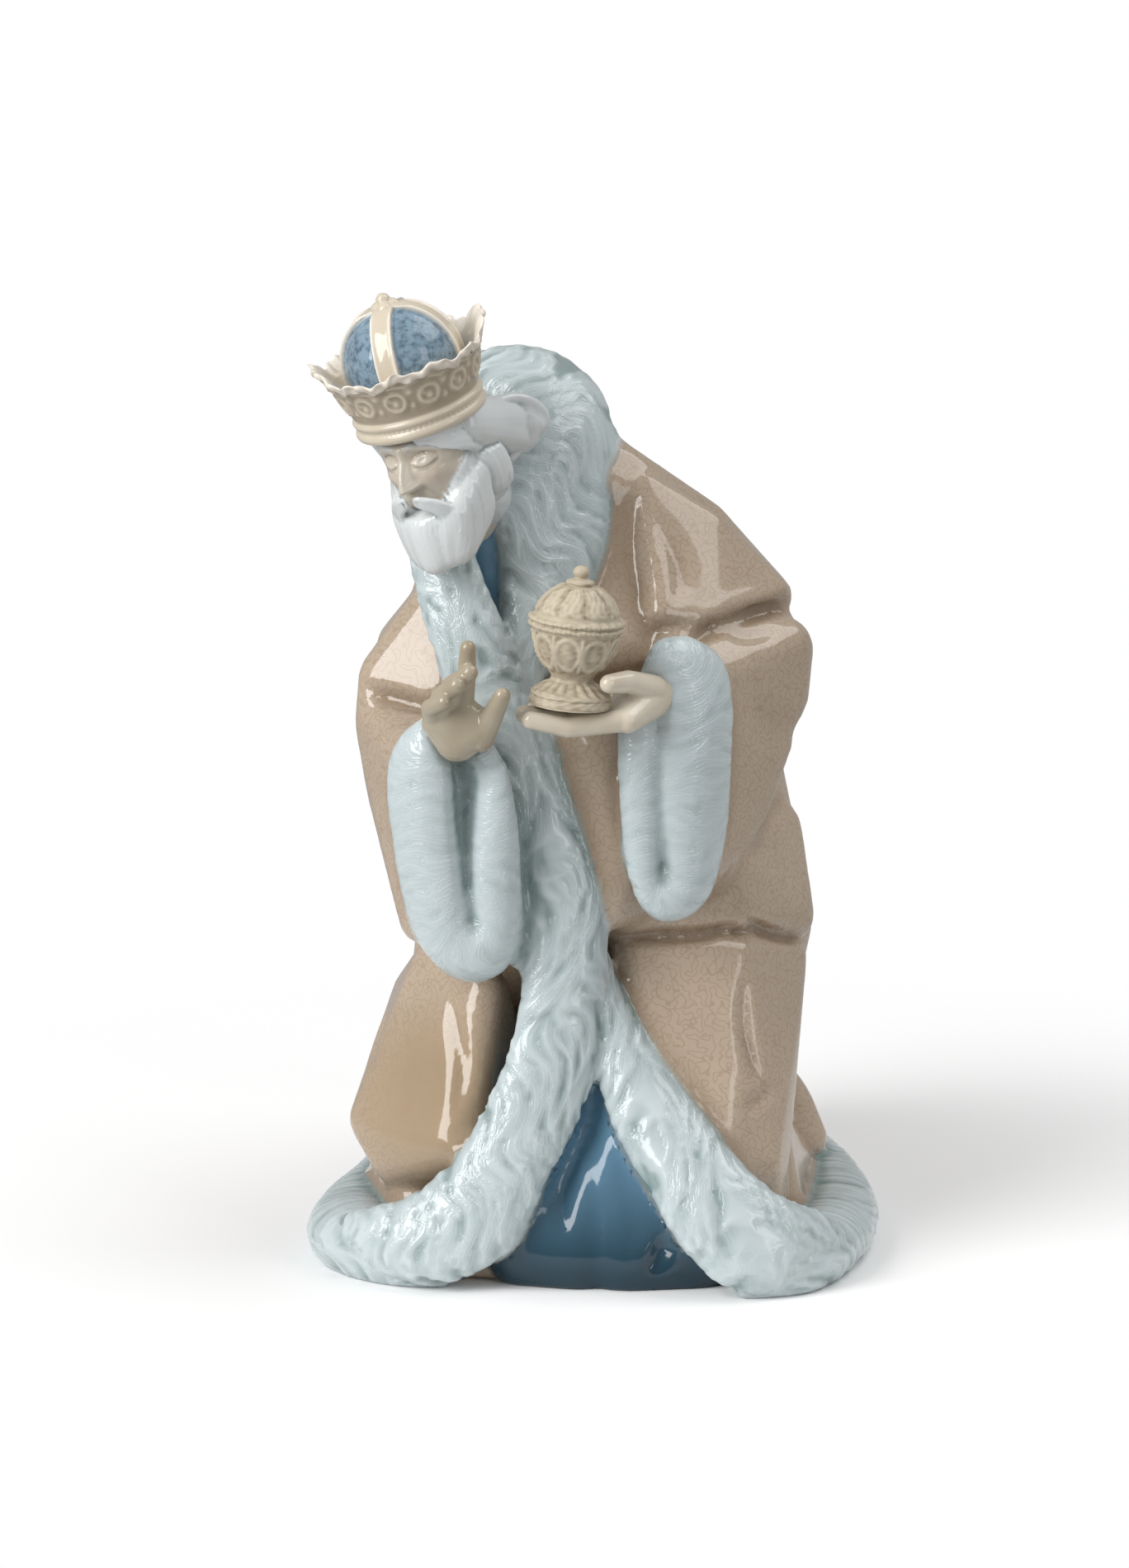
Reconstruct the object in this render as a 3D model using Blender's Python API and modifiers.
"""Glazed porcelain figurine of a kneeling king in a fur-trimmed robe, with the covered urn on his palm.

The origin is on the table, under the middle of the figure. He faces -Y, +X is his left, +Z is up.
"""

import bmesh
import bpy
import numpy as np
from mathutils import Matrix, Vector

# The figure's own sizes, in metres. Its pose is placed on a grid of 240 steps in its height.
FIGURE_HEIGHT = 0.240
GRID = FIGURE_HEIGHT / 240
ROBE_GRAIN = 1.1 * GRID
CARVED_GRAIN = 0.6 * GRID
ROBE_TRIANGLES = 4600
HEAD_TRIANGLES = 3000
HAND_TRIANGLES = 440
TABLE_CUT = 2 * FIGURE_HEIGHT

# The urn, a casting of its own, in metres.
URN_HEIGHT = 0.0335
URN_LEAN = 5
URN_STEPS = 24
SEAT_GAP = 0.0003

# The folds of the cloak's back: their number round it and their depth in grid steps.
DRAPE_FOLDS = 9
DRAPE_DEPTH = 2.7

# Landmarks of the pose, in grid steps. MIDDLE is where the middle of the base lies on the grid.
MIDDLE = (0.4, 10.3)
URN_FOOT = (-5.8, -56.0, 143.5)
SKULL = (-38.5, -41.0, 203.2)
CROWN_FOOT = (-41.0, -42.0, 211.2)
FACE_AHEAD = (-0.50, -0.82, -0.27)
CROWN_UP = (-0.30, -0.14, 0.943)
CAP_RADIUS = 13.8
CAP_HEIGHT = 13.5


def at(x, y, z):
    """A point of the figure's grid, in metres from the middle of the base."""
    return Vector((x - MIDDLE[0], y - MIDDLE[1], z)) * GRID


def head_at(x, y, z, *radius, start=SKULL):
    """Grid numbers for a point in the head's own axes, x to his left, y to the back and z to the crown."""
    up = Vector(CROWN_UP).normalized()
    ahead = Vector(FACE_AHEAD)
    back = -(ahead - up * ahead.dot(up)).normalized()
    left = back.cross(up)
    return (*(Vector(start) + left * x + back * y + up * z), *radius)


def crown_at(x, y, z, *radius):
    """Grid numbers for a point in the head's axes, counted from the middle of the crown's lower ring."""
    return head_at(x, y, z, *radius, start=CROWN_FOOT)


def new_object(name, mesh):
    """Turns a bmesh into an object of the scene's collection."""
    data = bpy.data.meshes.new(name)
    mesh.to_mesh(data)
    mesh.free()
    made = bpy.data.objects.new(name, data)
    bpy.context.scene.collection.objects.link(made)
    return made


def hull(*balls):
    """Cloth or flesh stretched over balls: the convex skin of (x, y, z, radius) rows."""
    skin = bmesh.new()
    for x, y, z, radius in balls:
        place = Matrix.Translation(at(x, y, z))
        bmesh.ops.create_uvsphere(skin, u_segments=14, v_segments=9, radius=radius * GRID, matrix=place)
    bmesh.ops.delete(skin, geom=skin.edges, context="EDGES_FACES")
    made = bmesh.ops.convex_hull(skin, input=skin.verts)
    loose = [v for v in made["geom_interior"] + made["geom_unused"] if isinstance(v, bmesh.types.BMVert)]
    bmesh.ops.delete(skin, geom=list(set(loose)), context="VERTS")
    return new_object("form", skin)


def smooth_rows(rows, steps):
    """Rows of numbers read from a smooth curve through the given rows."""
    rows = np.array(rows, float)
    padded = np.vstack([2 * rows[0] - rows[1], rows, 2 * rows[-1] - rows[-2]])
    found = []
    for i in range(len(rows) - 1):
        a, b, c, d = padded[i : i + 4]
        for t in np.linspace(0, 1, steps, endpoint=False):
            bend = (2 * a - 5 * b + 4 * c - d) * t**2 + (3 * b - a - 3 * c + d) * t**3
            found.append(b + 0.5 * ((c - a) * t + bend))
    return np.array([*found, rows[-1]])


def strip(rows, steps=5, sides=16):
    """A thick band with an oval section, between the two edges given by (x, y, z, x, y, z, thickness) rows."""
    path = smooth_rows(rows, steps)
    left = [Vector(p) for p in path[:, :3]]
    right = [Vector(p) for p in path[:, 3:6]]
    middle = [(a + b) / 2 for a, b in zip(left, right)]
    band = bmesh.new()
    rings = []
    for i, (a, b, thickness) in enumerate(zip(left, right, path[:, 6])):
        along = middle[min(i + 1, len(middle) - 1)] - middle[max(i - 1, 0)]
        out = (b - a).cross(along).normalized()
        ring = []
        for turn in np.arange(sides) * 2 * np.pi / sides:
            offset = (b - a) * (np.cos(turn) / 2) + out * (np.sin(turn) * thickness / 2)
            ring.append(band.verts.new(at(*(middle[i] + offset))))
        rings.append(ring)
    return closed_tube(band, rings)


def closed_tube(skin, rings):
    """Skins rows of points into a tube, closed at both ends, and makes the object."""
    count = len(rings[0])
    for low, high in zip(rings, rings[1:]):
        for i in range(count):
            j = (i + 1) % count
            skin.faces.new((low[i], low[j], high[j], high[i]))
    skin.faces.new(rings[0])
    skin.faces.new(rings[-1])
    bmesh.ops.recalc_face_normals(skin, faces=skin.faces)
    return new_object("form", skin)


def ribbon(rows, core, steps=6):
    """A strip along (x, y, z, width, thickness) rows, its flat side turned away from the point core."""
    path = smooth_rows(rows, steps)
    edges = []
    for i, row in enumerate(path):
        along = Vector(path[min(i + 1, len(path) - 1)][:3]) - Vector(path[max(i - 1, 0)][:3])
        out = Vector(row[:3]) - Vector(core)
        across = along.cross(out).normalized() * (row[3] / 2)
        edges.append([*(Vector(row[:3]) - across), *(Vector(row[:3]) + across), row[4]])
    return strip(edges, 1)


def limb(*balls):
    """A jointed run of tapered lengths, such as a finger or a lock of hair."""
    return [hull(a, b) for a, b in zip(balls, balls[1:])]


def comb(guides, count, half):
    """Locks of hair combed side by side between guide lines, each thick in its middle."""
    curves = np.array([smooth_rows(guide, 2) for guide in guides])
    locks = []
    for place in np.linspace(0, len(curves) - 1, count):
        low = min(int(place), len(curves) - 2)
        line = curves[low] * (low + 1 - place) + curves[low + 1] * (place - low)
        thick = half * (0.45 + 0.55 * np.sin(np.pi * (0.1 + 0.85 * np.linspace(0, 1, len(line)))))
        locks += limb(*[(*point, radius) for point, radius in zip(line, thick)])
    return locks


def back_forms():
    """The robe over the nape, the shoulders, the back and the seat, and its train behind the heels."""
    nape = hull(
        (-27, 8, 197, 8), (-14, 8, 202, 8), (-3, 3, 196, 8), (-32, -4, 184, 8), (3, -4, 187, 8),
        (-20, 24, 176, 12), (4, 24, 172, 12), (26, 4, 172, 8), (-35, -8, 163, 9),
    )
    shoulders = hull(
        (5, 0, 190, 8), (26, 4, 175, 8), (44, -2, 160, 5), (-35, -12, 160, 9), (-47, -14, 150, 6),
        (6, 30, 160, 14), (-12, -22, 150, 10), (14, -18, 152, 8), (-22, 22, 158, 12),
    )
    waist = hull(
        (32, 4, 114, 13), (41, 8, 86, 12), (-38, -4, 112, 12), (4, 38, 122, 18), (8, -12, 148, 12),
        (-20, -18, 142, 10), (-30, 10, 78, 14), (0, 46, 86, 20), (-4, -20, 102, 14), (32, -22, 90, 7),
        (6, -28, 88, 8), (28, 14, 152, 12), (-28, 8, 150, 12), (4, 30, 154, 15), (-26, 22, 120, 12),
        (-24, 26, 90, 14),
    )
    seat = hull(
        (45, 8, 76, 10), (33, 6, 38, 9), (-32, 14, 74, 12), (0, 50, 78, 20), (2, 60, 10, 20), (30, 28, 10, 12),
        (-38, 22, 10, 14), (0, -6, 70, 20), (0, 0, 10, 24), (0, 55, 54, 21),
    )
    train = hull(
        (28, 44, 12, 15), (-30, 42, 12, 15), (0, 64, 8, 17), (2, 56, 44, 18), (28, 26, 40, 12),
        (-30, 24, 40, 12),
    )
    bundle = hull((45, 26, 18, 9), (38, 42, 9, 10), (28, 30, 26, 10))
    return [nape, shoulders, waist, seat, train, bundle]


def lap_forms():
    """The robe's front: the fold across the lap, the panels over both knees and the skirts under them."""
    lap = hull(
        (36, -24, 86, 4), (8, -32, 87, 5), (49, -4, 80, 6), (32, -24, 100, 6), (6, -28, 104, 8), (44, 4, 100, 8)
    )
    panel = hull(
        (35, -28, 76, 4), (10, -30, 76, 6), (34, -38, 46, 4), (41.5, -42, 27, 4), (45, -8, 70, 8),
        (36, -10, 36, 7), (16, -38, 52, 8), (30, -46, 28, 8), (45, -4, 62, 6.5),
    )
    knee = hull(
        (-38, -18, 72, 6), (-26, -32, 68, 6), (-53, -26, 34, 7), (-48, -30, 24, 6), (-33, -40, 32, 9),
        (-24, -10, 20, 12), (-42, -6, 60, 8), (-48, -12, 30, 8),
    )
    left_skirt = hull((36, -8, 34, 7), (40, -34, 12, 9), (46, 8, 10, 9), (26, -38, 12, 12))
    right_skirt = hull(
        (-42, -30, 12, 9), (-48, -8, 14, 8), (-42, 18, 10, 10), (-42, 0, 44, 9), (-20, -20, 14, 14)
    )
    return [lap, panel, knee, left_skirt, right_skirt]


def sleeve_forms():
    """The two sleeves: the sharp fold off the left shoulder, the upper arms and the wide hanging ends."""
    ridge = hull(
        (13, -6, 187, 4), (16, -26, 160, 3), (30, -22, 157.5, 2), (46, -6, 162.5, 2), (44, -2, 161, 4),
        (28, -6, 178, 4),
    )
    left_elbow = hull(
        (46, -8, 148, 8), (45, -9, 137, 8), (24, -32, 143, 8), (20, -26, 150, 6), (40, -14, 122, 5)
    )
    left_upper = hull(
        (40, 0, 158, 6), (45, -3, 146, 8), (36, 8, 120, 9), (28, 20, 150, 12), (30, 20, 112, 12)
    )
    left_hang = hull(
        (24, -34, 143, 8), (43, -12, 126, 6), (38, -18, 110, 5), (31, -28, 102, 5), (24, -38, 98, 6),
        (16, -36, 114, 6), (18, -34, 138, 8),
    )
    right_fold = hull((-36, -16, 161, 8), (-51, -22, 144, 6), (-52, -24, 133, 6), (-30, -28, 144, 8))
    right_upper = hull(
        (-46, -12, 151, 6), (-49, -14, 138, 7), (-39, 0, 116, 9), (-28, 14, 150, 12), (-28, 16, 110, 12)
    )
    right_hang = hull(
        (-52, -24, 133, 6), (-49, -26, 116, 6), (-42, -42, 127, 7), (-41, -42, 88, 6), (-28, -44, 82, 6),
        (-24, -40, 106, 8), (-30, -42, 130, 6), (-45, -26, 106, 6),
    )
    return [ridge, left_elbow, left_upper, left_hang, right_fold, right_upper, right_hang]


def collar_forms():
    """The fur collar that stands round the neck."""
    return [
        strip(
            [
                (-34, -31, 168.5, -43, -24, 168, 9),
                (-35.5, -18, 179.5, -45.5, -10, 178, 10),
                (-35, -2, 193, -44, 8, 195.5, 11),
                (-29, 4, 203, -34, 18, 211, 13),
                (-23, 1, 208, -18.5, 16, 217, 14),
                (-15, -6, 206, -3.5, 12, 213, 15),
                (-14.5, -13, 201, 5, 4, 200, 15),
                (-20, -20, 191, 6, -4, 185, 14),
                (-23, -26, 182, 4, -13, 172.5, 13),
                (-21.5, -30, 173, -2, -21, 161.5, 12),
                (-21.5, -32.5, 164, -9.5, -28, 151, 10),
                (-24.5, -35, 152, -13.5, -34, 140, 9),
            ]
        )
    ]


def edge_forms():
    """The fur down the robe's two front edges, which meet at the waist and part over the tunic."""
    right_edge = strip(
        [
            (-44, -30, 171.5, -34, -34, 170, 9),
            (-39.5, -36, 154.5, -25, -37, 155.5, 9),
            (-34.5, -40, 139, -14, -37, 139.5, 10),
            (-28, -42, 124.5, -7, -37, 125.5, 10),
            (-22, -43, 111.5, -2.5, -38, 112.5, 11),
            (-18.5, -44, 97.5, 2, -39, 98.5, 11),
            (-17.5, -46, 83.5, 3.5, -41, 83.5, 12),
            (-17.5, -48, 72, 3, -43, 70.5, 12),
            (-20, -50, 59, 0.5, -47, 53, 12),
            (-26.5, -52, 44, -4, -51, 39, 12),
            (-34.5, -53, 31, -11, -56, 27, 13),
            (-45.5, -52, 21.5, -19.5, -60, 11, 15),
            (-58, -44, 17, -34, -59, 2, 17),
            (-66, -32, 14, -50, -54, 1, 17),
        ]
    )
    left_edge = strip(
        [
            (-4, -36, 83.5, 3.5, -36, 79, 8),
            (-2.5, -42, 68.5, 6.5, -38, 68.5, 10),
            (0, -47, 53, 14, -42, 57, 11),
            (5, -53, 38.5, 24.5, -48, 43, 12),
            (13.5, -60, 24, 34.5, -55, 32.5, 13),
            (22, -65, 11, 44.5, -58, 24, 14),
            (34, -67, 2, 56, -50, 17.5, 16),
            (50, -60, 1, 64, -36, 15, 17),
        ]
    )
    return [right_edge, left_edge]


def hem_forms():
    """The fur roll that runs round the robe's hem on the ground, and the sole that closes the base inside it."""
    sole = hull(
        (-46, -40, 4, 4), (-52, -12, 4, 4), (-48, 18, 4, 4), (-38, 48, 4, 4), (-20, 68, 4, 4), (6, 76, 4, 4),
        (30, 64, 4, 4), (48, 38, 4, 4), (53, 10, 4, 4), (53, -14, 4, 4), (48, -42, 4, 4), (32, -52, 4, 4),
        (-30, -48, 4, 4),
    )
    return [
        sole,
        ribbon(
            [
                (-34, -50, 6, 17, 19), (-47, -47, 6, 18, 22), (-57, -35, 6.5, 18, 25), (-57.5, -15, 6.5, 17, 23),
                (-53, 14, 6, 15, 17), (-45, 46, 6, 15, 15), (-24, 74, 6, 15, 15), (6, 83, 6, 15, 15),
                (34, 70, 6, 15, 15), (54, 42, 6, 15, 16), (59.5, 12, 6, 15, 20), (60, -14, 5.5, 16, 22),
                (56, -38, 6, 16, 21), (48, -56, 6, 18, 18), (34, -60, 6, 18, 17),
            ],
            core=(0, 0, 6),
        ),
    ]


def cuff_forms():
    """The fur cuffs, long loops round the open ends of the sleeves, and the slack of the fur inside them."""
    left_cuff = strip(
        [
            (5.6, -47, 138.9, 15.2, -47, 140.1, 9),
            (5.6, -48, 126.6, 15, -49, 127.8, 9),
            (6.4, -48, 112.5, 15.3, -49, 112.7, 9),
            (8.4, -47, 99.7, 15.5, -49, 103.6, 10),
            (13, -45, 90.7, 15.9, -49, 100.2, 11),
            (20.4, -43, 89, 16.5, -49, 99.4, 12),
            (27.6, -40, 94.5, 16.3, -49, 102.6, 12),
            (31.5, -38, 110.3, 15.8, -50, 116, 12),
            (32.6, -38, 127.6, 15.6, -50, 130.1, 12),
            (33, -37, 140.5, 15.2, -49, 140.5, 12),
            (30.2, -36, 151, 14.8, -48, 146.3, 12),
            (22.8, -38, 156, 13.4, -49, 149.3, 11),
            (14.9, -41, 155, 10.3, -50, 148.7, 9),
        ]
    )
    right_cuff = strip(
        [
            (-39.8, -50, 139.9, -35.2, -55, 131.1, 10),
            (-46.3, -48, 134.1, -34.2, -56, 127.3, 11),
            (-49.2, -47, 124.4, -33.7, -56, 119.3, 11),
            (-48.1, -47, 111.3, -33.1, -56, 110.3, 11),
            (-45.6, -47, 96.1, -32, -56, 100.2, 11),
            (-40.9, -47, 82.9, -30, -55, 91.9, 12),
            (-32.6, -47, 75.5, -28.7, -55, 88.2, 12),
            (-23.7, -47, 76.1, -27.9, -55, 89.4, 12),
            (-18.3, -47, 84.9, -28.6, -55, 97.9, 12),
            (-17.9, -48, 99.4, -29.4, -55, 108, 11),
            (-19.2, -49, 114.8, -28.2, -55, 118.1, 11),
            (-22.3, -51, 127.3, -26.2, -55, 127.1, 10),
            (-25.4, -52, 134.5, -29.3, -55, 131.1, 9),
        ]
    )
    left_slack = hull((15.5, -44.5, 142, 3), (15.5, -45, 104, 3.5))
    right_slack = hull((-30.5, -49.5, 128, 4), (-29.5, -49.5, 94, 4))
    return [left_cuff, right_cuff, left_slack, right_slack]


def tunic_forms():
    """The blue tunic, seen at the throat and where the robe parts over the knees."""
    skirt = [
        hull((-2, -34, 50, 7), (-16, -48, 8, 11), (-4, -49, 7, 12), (0, -20, 20, 20)),
        hull((2, -34, 52, 7), (8, -49, 7, 13), (24, -48, 7, 12), (12, -42, 34, 8), (0, -20, 20, 20)),
    ]
    breast = hull((-24, -20, 168, 8), (-20, -26, 142, 8), (-28, -18, 182, 8))
    return [*skirt, breast]


def head_forms():
    """Skull, face and neck, in the head's own axes, on common proportions."""
    skull = hull(head_at(0, 2.5, 4, 13.4), head_at(0, -0.5, 2, 12.0))
    jaw = hull(
        head_at(0, -3.5, -2, 9.6), head_at(0, -4.5, -9, 7.4), head_at(0, 0, 2, 11.5),
        head_at(-5.6, -2.6, -3, 5.6), head_at(5.6, -2.6, -3, 5.6),
    )
    brow = limb(head_at(-8.5, -9, 3.4, 1.8), head_at(0, -12.2, 4.3, 1.7), head_at(8.5, -9, 3.4, 1.8))
    nose = [
        hull(head_at(0, -12.6, 2.4, 1.3), head_at(0, -16, -5.0, 1.6), head_at(0, -12, -5.2, 2.2)),
        hull(head_at(-2.2, -13.6, -5.2, 1.2), head_at(2.2, -13.6, -5.2, 1.2)),
    ]
    lip = hull(head_at(-1.8, -12.8, -11.4, 1.1), head_at(1.8, -12.8, -11.4, 1.1))
    eyes = [hull(head_at(side * 4.9, -10.2, 0.3, 2.1), head_at(side * 5.2, -10, 0.3, 2.0)) for side in (-1, 1)]
    neck = hull((-34, -26, 192, 10), (-27, -13, 175, 10))
    return [skull, jaw, *brow, *nose, lip, *eyes, neck]


def hair_forms():
    """Hair and beard in combed locks: the sweep over his left ear, the nape, the beard and the moustache."""
    mass = [
        hull(head_at(0, 4, 5, 13.6), head_at(0, 6, -4, 11.5), head_at(-4, 8, -11, 8), head_at(5, 8, -11, 8)),
        hull(head_at(0, 7, -7, 9), (-29, -25, 190, 9), (-27, -15, 183, 9)),
        hull(head_at(9, 2, 4, 7), (-19.5, -27.5, 207.5, 5.2), (-18, -26, 203.5, 4.8)),
        hull(
            head_at(-8.8, -1.5, -8, 3), head_at(8.8, -1.5, -8, 3), head_at(-8.2, -1, -16, 3),
            head_at(8.2, -1, -16, 3), head_at(-6, -7.5, -14, 3.5), head_at(6, -7.5, -14, 3.5),
            head_at(-4.2, -8, -26, 2.6), head_at(4.2, -8, -26, 2.6), head_at(0, -11, -15, 3),
            head_at(0, -11.5, -27, 2.6),
        ),
    ]
    sweep = [
        [head_at(2, -12.8, 7.4), head_at(10, -8.2, 8.2), (-22, -34, 213), (-15.5, -29, 212),
         (-11.5, -25.5, 207.5), (-13.5, -27, 202.5)],
        [head_at(6.5, -11.3, 4.8), head_at(13, -3.8, 2.8), (-22, -33.5, 206), (-17.8, -31, 204),
         (-16, -29.8, 202.5), (-18, -29.5, 200.5)],
        [head_at(8.6, -9.8, 3.2), head_at(13, -2.8, -0.2), (-24, -33.4, 201.5), (-21, -31.5, 199.5),
         (-19.5, -30.5, 198.5), (-21, -30, 197.5)],
    ]
    temple = [
        [head_at(-3, -12.6, 7.4), head_at(-9.5, -8.6, 6.5), head_at(-12.3, -4, 2), head_at(-11.6, -2, -4)],
        [head_at(-11, -2, 9), head_at(-13.6, 3, 6), head_at(-13.5, 5, -2), head_at(-11.5, 6, -11)],
    ]
    nape = [
        [head_at(-12, 6, 8), head_at(-12.6, 8, 0), head_at(-9.5, 11, -9), (-36, -18, 185)],
        [head_at(3, 16, 8), head_at(3, 16.5, 0), head_at(2, 14, -10), (-26, -10, 185)],
        [head_at(11, 11, 8), head_at(12, 11, 1), head_at(9, 10, -9), (-21, -14, 186)],
    ]
    locks = comb(sweep, 5, 2.0) + comb(temple, 4, 1.9) + comb(nape, 7, 2.1)
    for side in (-1, 1):
        beard = [
            [head_at(side * 12, -1, 0), head_at(side * 12.2, 0, -9), head_at(side * 11.2, 0, -17),
             head_at(side * 7.2, -4, -26)],
            [head_at(side * 9.2, -8.2, -6.5), head_at(side * 9.1, -9, -13), head_at(side * 7.6, -10, -21),
             head_at(side * 4.2, -11, -29.5)],
            [head_at(side * 0.5, -12.9, -13.3), head_at(side * 0.5, -14.4, -17), head_at(side * 0.5, -15, -23.5),
             head_at(side * 0.3, -13.8, -30.8)],
        ]
        locks += comb(beard, 5, 2.0)
        locks += limb(
            head_at(side * 0.6, -14.9, -7.8, 1.3), head_at(side * 3.2, -14.5, -8.8, 1.5),
            head_at(side * 6.2, -12.7, -10.8, 1.4), head_at(side * 9, -9.8, -14, 0.9),
        )
    return mass + locks


def crown_forms():
    """The crown: a flared band with a pointed rim round a ribbed cap with a knob."""
    cap = hull(crown_at(0, 0, CAP_HEIGHT, CAP_RADIUS))
    knob = hull(crown_at(0, 0, 27.93, 2.6), crown_at(0, 0, 28.1, 1.4))
    ribs = []
    for turn in np.radians((20, 110)):
        across = Vector((-np.sin(turn), np.cos(turn), 0)) * 1.9
        rows = []
        for climb in np.linspace(-0.5, np.pi + 0.5, 13):
            ray = Vector((np.cos(climb) * np.cos(turn), np.cos(climb) * np.sin(turn), np.sin(climb)))
            middle = Vector((0, 0, CAP_HEIGHT)) + ray * CAP_RADIUS
            rows.append([*crown_at(*(middle - across)), *crown_at(*(middle + across)), 1.8])
        ribs.append(strip(rows, 1, 8))
    return [cap, knob, *ribs, crown_band()]


def crown_band(sides=48):
    """The crown's flared band, a ring whose upper edge rises to points at its sides, closed inside the cap."""
    outline = [
        (-1.5, 14.8), (-0.5, 16), (2, 15.6), (4, 16.2), (10, 17.6), (16.5, 20.8), (17.5, 20.2), (13, 16.5),
        (10, 9),
    ]
    peaks = [(42, 4.6), (222, 4.2), (132, 2.6), (312, 0.8)]
    band = bmesh.new()
    rows = []
    for height, radius in outline:
        row = []
        for turn in np.arange(sides) * 2 * np.pi / sides:
            point = 0.65 * np.cos(12 * turn) - 2.4
            for angle, rise in peaks:
                off = np.mod(turn - np.radians(angle) + np.pi, 2 * np.pi) - np.pi
                point += rise * np.exp(-((off / 0.42) ** 2))
            point *= np.clip((height - 12) / 4, 0, 1)
            reach = radius + point * 0.25
            place = crown_at(reach * np.cos(turn), reach * np.sin(turn), height + point)
            row.append(band.verts.new(at(*place)))
        rows.append(row)
    return closed_tube(band, rows)


def right_hand_forms():
    """His raised right hand, with the palm to the front."""
    palm = hull(
        (-32.8, -58, 133, 5.6), (-37.2, -60, 139.6, 3.6), (-31.5, -60.5, 143.4, 3.6), (-26.4, -60.5, 138.4, 4.2)
    )
    wrist = hull((-32.8, -56, 131, 5), (-34, -45, 124, 6))
    fingers = [
        *limb((-31, -61, 144.5, 2.7), (-30, -62.5, 152.5, 2.3), (-29.7, -64, 158.6, 1.9)),
        *limb((-33.6, -61, 143.8, 2.7), (-33.6, -63.5, 149.6, 2.35), (-29.2, -66.5, 153.2, 2.0)),
        *limb((-35.8, -61, 142.4, 2.6), (-36.2, -64.5, 147.2, 2.3), (-32.2, -68.5, 150.6, 2.0)),
        *limb((-37.9, -60.5, 140.2, 2.5), (-38.8, -63.5, 144.2, 2.1), (-35.2, -68.2, 146.6, 1.9)),
        *limb((-27, -60.5, 136.5, 3.6), (-24, -63.5, 142.4, 2.7), (-21.6, -65.8, 147.6, 2.0)),
    ]
    return [palm, wrist, *fingers]


def left_hand_forms():
    """His left hand, with the palm up under the urn."""
    palm = hull((16, -44, 145, 6), (9, -51, 141.5, 4), (3, -54, 140, 3.2), (8, -58, 140, 3))
    fingers = [
        *limb((6, -58, 140, 2.8), (-6, -61, 139, 2.5), (-15, -62, 141, 2.2)),
        *limb((5, -54, 140, 2.8), (-6, -57, 139, 2.5), (-16.5, -57, 141.5, 2.2)),
        *limb((5, -51, 140, 2.8), (-6, -52.5, 139.5, 2.5), (-14, -52, 141.5, 2.2)),
        *limb((14, -50, 146, 3.6), (8, -56, 149, 2.8), (3.5, -61, 149.5, 2.3)),
    ]
    return [palm, *fingers]


ROBE = (back_forms, lap_forms, sleeve_forms, collar_forms, edge_forms, hem_forms, cuff_forms, tunic_forms)
HEAD = (head_forms, hair_forms, crown_forms)


def urn_outline(gap=0.0):
    """The urn's (radius, height) outline from the knob down to the middle of its foot, grown by a gap."""
    shares = [
        # of the urn's height
        (0.0, 1.0), (0.051, 0.982), (0.063, 0.940), (0.042, 0.922), (0.099, 0.907), (0.101, 0.875),
        (0.167, 0.842), (0.248, 0.761), (0.299, 0.654), (0.322, 0.636), (0.337, 0.612), (0.316, 0.585),
        (0.331, 0.558), (0.307, 0.534), (0.281, 0.433), (0.227, 0.313), (0.149, 0.215), (0.155, 0.173),
        (0.224, 0.119), (0.281, 0.078), (0.290, 0.054), (0.284, 0.0), (0.0, 0.0),
    ]
    found = []
    for i, (across, up) in enumerate(shares):
        radius, height = across * URN_HEIGHT, up * URN_HEIGHT
        if 0 < i < len(shares) - 1:
            radius += gap
        if i == 0:
            height += gap
        if i >= len(shares) - 2:
            height -= gap
        found.append((radius, height))
    return found


def turned(name, outline):
    """A solid turned about its axis from a (radius, height) outline that runs top to bottom."""
    profile = bmesh.new()
    points = [profile.verts.new((radius, 0, height)) for radius, height in outline]
    for a, b in zip(points, points[1:]):
        profile.edges.new((a, b))
    body = new_object(name, profile)
    screw = body.modifiers.new("turn", "SCREW")
    screw.steps = screw.render_steps = URN_STEPS
    screw.use_merge_vertices = True
    screw.merge_threshold = 0.00001
    finish(body)
    lean = Matrix.Rotation(np.radians(URN_LEAN), 4, "Y")
    body.data.transform(Matrix.Translation(at(*URN_FOOT)) @ lean)
    return body


def finish(body):
    """Makes the object's mesh the one that its modifiers give."""
    bpy.context.view_layer.update()
    graph = bpy.context.evaluated_depsgraph_get()
    body.data = bpy.data.meshes.new_from_object(body.evaluated_get(graph))
    body.modifiers.clear()


def press(name, groups, grain):
    """Presses groups of forms into one body and softens its edges."""
    forms = [form for group in groups for form in group()]
    with bpy.context.temp_override(active_object=forms[0], selected_editable_objects=forms):
        bpy.ops.object.join()
    body = forms[0]
    body.name = name
    clay = body.modifiers.new("one body", "REMESH")
    clay.mode = "VOXEL"
    clay.voxel_size = grain
    soft = body.modifiers.new("softened", "SMOOTH")
    soft.factor = 0.5
    soft.iterations = 4
    finish(body)
    return body


def thin_out(body, triangles):
    """Takes a body down to a number of triangles."""
    fewer = body.modifiers.new("fewer", "DECIMATE")
    fewer.ratio = triangles / sum(len(face.vertices) - 2 for face in body.data.polygons)
    fewer.use_collapse_triangulate = True
    finish(body)
    return body


def cast(name, groups, grain, triangles):
    """A body of few triangles, pressed from groups of forms."""
    return thin_out(press(name, groups, grain), triangles)


def soft_step(values, low, high):
    """0 below low, 1 above high and smooth between."""
    share = np.clip((values - low) / (high - low), 0, 1)
    return share * share * (3 - 2 * share)


def read_vertices(body, what):
    """A body's vertex places or normals, as rows."""
    found = np.empty(len(body.data.vertices) * 3)
    body.data.vertices.foreach_get(what, found)
    return found.reshape(-1, 3)


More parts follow.
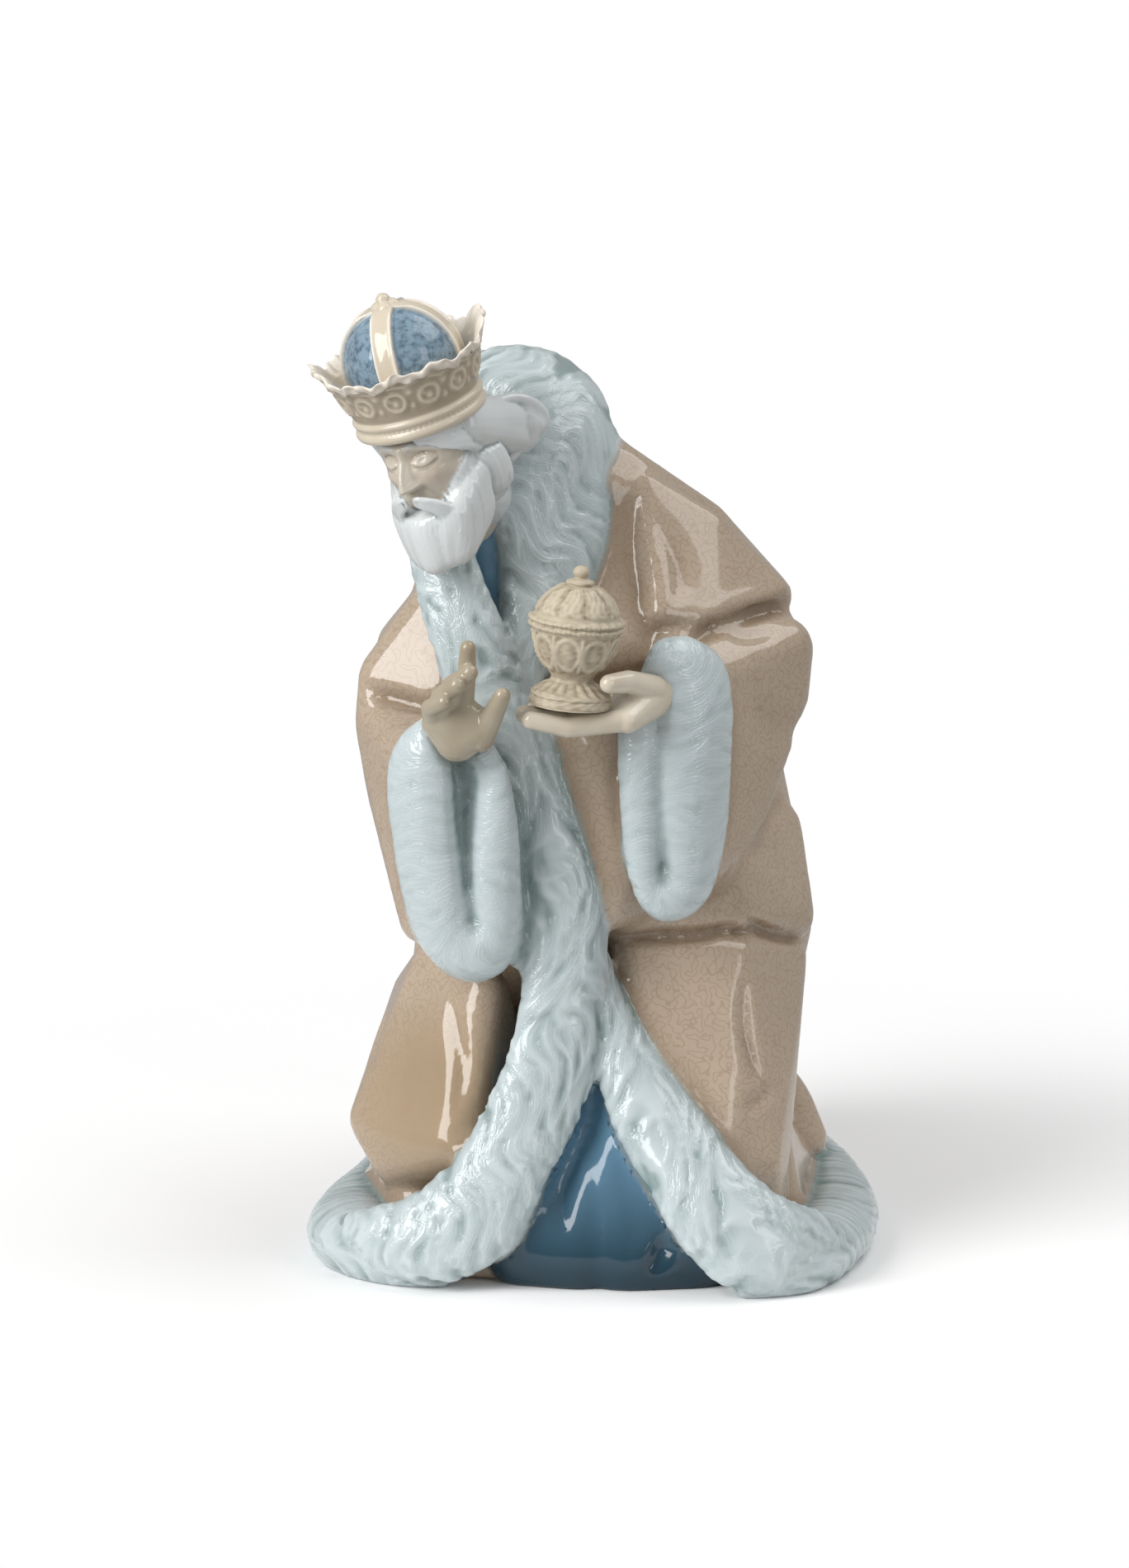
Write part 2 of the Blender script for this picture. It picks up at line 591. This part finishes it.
def drape(body):
    """Lets the cloak's back fall in rounded folds from the shoulders that spread to the hem."""
    places, out = read_vertices(body, "co"), read_vertices(body, "normal")
    x, y, z = (places / GRID).T
    turn = np.arctan2(x + 4, y + 8)
    sway = DRAPE_FOLDS * turn + 0.9 * np.sin(z / 34 + 1) + 0.5 * np.sin(4 * turn)
    fall = soft_step(-z, -165, -60) * soft_step(z, 14, 24) * (0.75 + 0.25 * np.sin(5 * turn + 2))
    rise = (2 * np.abs(np.cos(sway / 2)) ** 0.75 - 1.2) * DRAPE_DEPTH * fall * soft_step(y, -4, 10)
    body.data.vertices.foreach_set("co", (places + out * (rise * GRID)[:, None]).ravel())


def crease(body, lines):
    """Draws folds into a body along lines of grid points, each with its depth and half width in grid steps."""
    places, out = read_vertices(body, "co"), read_vertices(body, "normal")
    shift = np.zeros(len(places))
    for points, depth, width in lines:
        line = [body.closest_point_on_mesh(at(*point))[1] for point in smooth_rows(points, 4)]
        best = np.full(len(places), FIGURE_HEIGHT)
        share = np.zeros(len(places))
        for number, (a, b) in enumerate(zip(line, line[1:])):
            run = np.array(b - a)
            part = np.clip((places - np.array(a)) @ run / (run @ run), 0, 1)
            gap = np.linalg.norm(places - np.array(a) - run * part[:, None], axis=1)
            share = np.where(gap < best, (number + part) / (len(line) - 1), share)
            best = np.minimum(best, gap)
        ends = np.clip(np.minimum(share, 1 - share) / 0.22, 0, 1) ** 0.7
        shift -= depth * ends * np.exp(-((best / (width * GRID * (0.45 + 0.55 * ends))) ** 2))
    body.data.vertices.foreach_set("co", (places + out * (shift * GRID)[:, None]).ravel())


# The folds drawn in the clay: the elbow's, the lap's, the panel's, the right sleeve's and the tunic's.
FOLDS = [
    ([(24, -29.3, 154.2), (32.1, -21.6, 157.4), (42.4, -11.3, 158.4), (47.7, -4.6, 159.2)], 3.2, 2.6),
    ([(6, -33.4, 82.7), (24.3, -30.5, 81), (37.4, -27.2, 84.3)], 2.4, 2.0),
    ([(29, -28, 98), (37.4, -27.2, 84.3), (45.9, -15.6, 77.4), (52.8, 3.7, 69.2)], 2.0, 2.0),
    ([(37.3, -32.8, 74), (36.8, -37.9, 61.1), (39.2, -40.4, 51.5), (43.7, -39.8, 43)], 1.8, 1.8),
    ([(-56.5, -24, 142), (-52, -29.5, 140.9), (-48.6, -30.8, 140.2), (-41.6, -32.9, 138.5)], 2.2, 2.0),
    ([(-50.6, -12.7, 58.9), (-54.5, -20, 53), (-54.2, -28.2, 46)], 1.5, 2.0),
    ([(-34.9, -32.5, 68), (-31.8, -42.5, 52), (-34, -48, 40)], 1.4, 2.0),
    ([(-0.8, -44.3, 41.1), (-4.4, -48.5, 30.9), (-7.8, -52.1, 21.6), (-6.6, -55.3, 12.2)], 3.2, 3.0),
]


def combine(body, operation, tool):
    """Joins a tool's solid to the body, or cuts it away, and leaves the tool among the cutters."""
    change = body.modifiers.new("change", "BOOLEAN")
    change.operation = operation
    change.solver = "EXACT"
    change.object = tool
    finish(body)
    tool.hide_render = True
    tool.display_type = "WIRE"
    show_in(cutters, tool)


def show_in(collection, thing):
    """Moves an object to the one collection it belongs to."""
    for other in list(thing.users_collection):
        other.objects.unlink(thing)
    collection.objects.link(thing)


# Each run starts from an empty scene.
for old in list(bpy.data.objects):
    bpy.data.objects.remove(old)
part, cutters = [bpy.data.collections.new(name) for name in ("nativity_wise_man", "cutters")]
bpy.context.scene.collection.children.link(part)
bpy.context.scene.collection.children.link(cutters)

# The figure is fired as one piece. Its head and hands are carved finer than the robe, then stuck on.
figure = press("wise_man", ROBE, ROBE_GRAIN)
drape(figure)
crease(figure, FOLDS)
thin_out(figure, ROBE_TRIANGLES)
combine(figure, "UNION", cast("head", HEAD, CARVED_GRAIN, HEAD_TRIANGLES))
combine(figure, "UNION", cast("right_hand", [right_hand_forms], CARVED_GRAIN, HAND_TRIANGLES))
combine(figure, "UNION", cast("left_hand", [left_hand_forms], CARVED_GRAIN, HAND_TRIANGLES))

# Its base is cut flat on the table.
bpy.ops.mesh.primitive_cube_add(size=TABLE_CUT, location=(0, 0, -TABLE_CUT / 2))
combine(figure, "DIFFERENCE", bpy.context.object)

# The urn is a casting of its own. Its seat in the hand is cut with the same outline, a joint wider.
urn = turned("incense_urn", urn_outline())
combine(figure, "DIFFERENCE", turned("urn_seat", urn_outline(SEAT_GAP)))

FINISHES = {
    # name: casting, colour as linear red, green and blue, roughness
    "glazed_porcelain": (figure, (0.46, 0.40, 0.33), 0.08),
    "biscuit_porcelain": (urn, (0.58, 0.50, 0.38), 0.55),
}
for name, (casting, colour, roughness) in FINISHES.items():
    porcelain = bpy.data.materials.new(name)
    porcelain.use_nodes = True
    shader = porcelain.node_tree.nodes["Principled BSDF"]
    shader.inputs["Base Color"].default_value = (*colour, 1)
    shader.inputs["Roughness"].default_value = roughness
    shader.inputs["Metallic"].default_value = 0
    casting.data.materials.clear()
    casting.data.materials.append(porcelain)
    show_in(part, casting)
